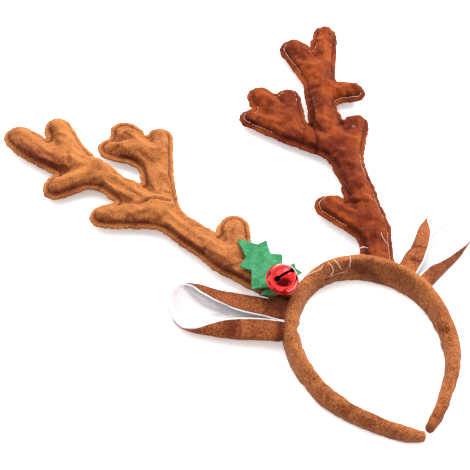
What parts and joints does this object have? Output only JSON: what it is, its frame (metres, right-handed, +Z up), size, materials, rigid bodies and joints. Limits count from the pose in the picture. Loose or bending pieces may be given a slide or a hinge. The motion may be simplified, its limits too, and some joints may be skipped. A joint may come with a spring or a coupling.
{
  "type": "reindeer antler headband",
  "caption": "Padded velvet headband with stuffed branching antlers, folded ears lined in white, and felt holly leaves under a slotted jingle bell, lying flat.",
  "frame": {"origin": "middle of the bounding box in X and Y, at the surface that it lies on", "axes": "+Z up, out of the front of the headband; +Y towards the antlers' ends; X across, from ear to ear"},
  "size_m": [0.352, 0.4246, 0.052],
  "materials": {
    "band_velvet": "short pile velvet, brown",
    "antler_velvet_light": "short pile velvet, light brown, nap towards the light",
    "antler_velvet_dark": "short pile velvet, dark red brown, nap away from the light",
    "ear_velvet": "short pile velvet, brown",
    "ear_lining": "smooth white lining",
    "holly_felt": "green felt",
    "bell_metal": "glossy red metallic coating"
  },
  "bodies": {
    "root": {"headband": "band_velvet", "antler_left": "antler_velvet_light", "antler_right": "antler_velvet_dark", "ear_left_outer": "ear_velvet", "ear_right_outer": "ear_velvet", "ear_left_lining": "ear_lining", "ear_right_lining": "ear_lining", "holly_leaf_large": "holly_felt", "holly_leaf_small": "holly_felt", "bell": "bell_metal"}
  },
  "joints": []
}
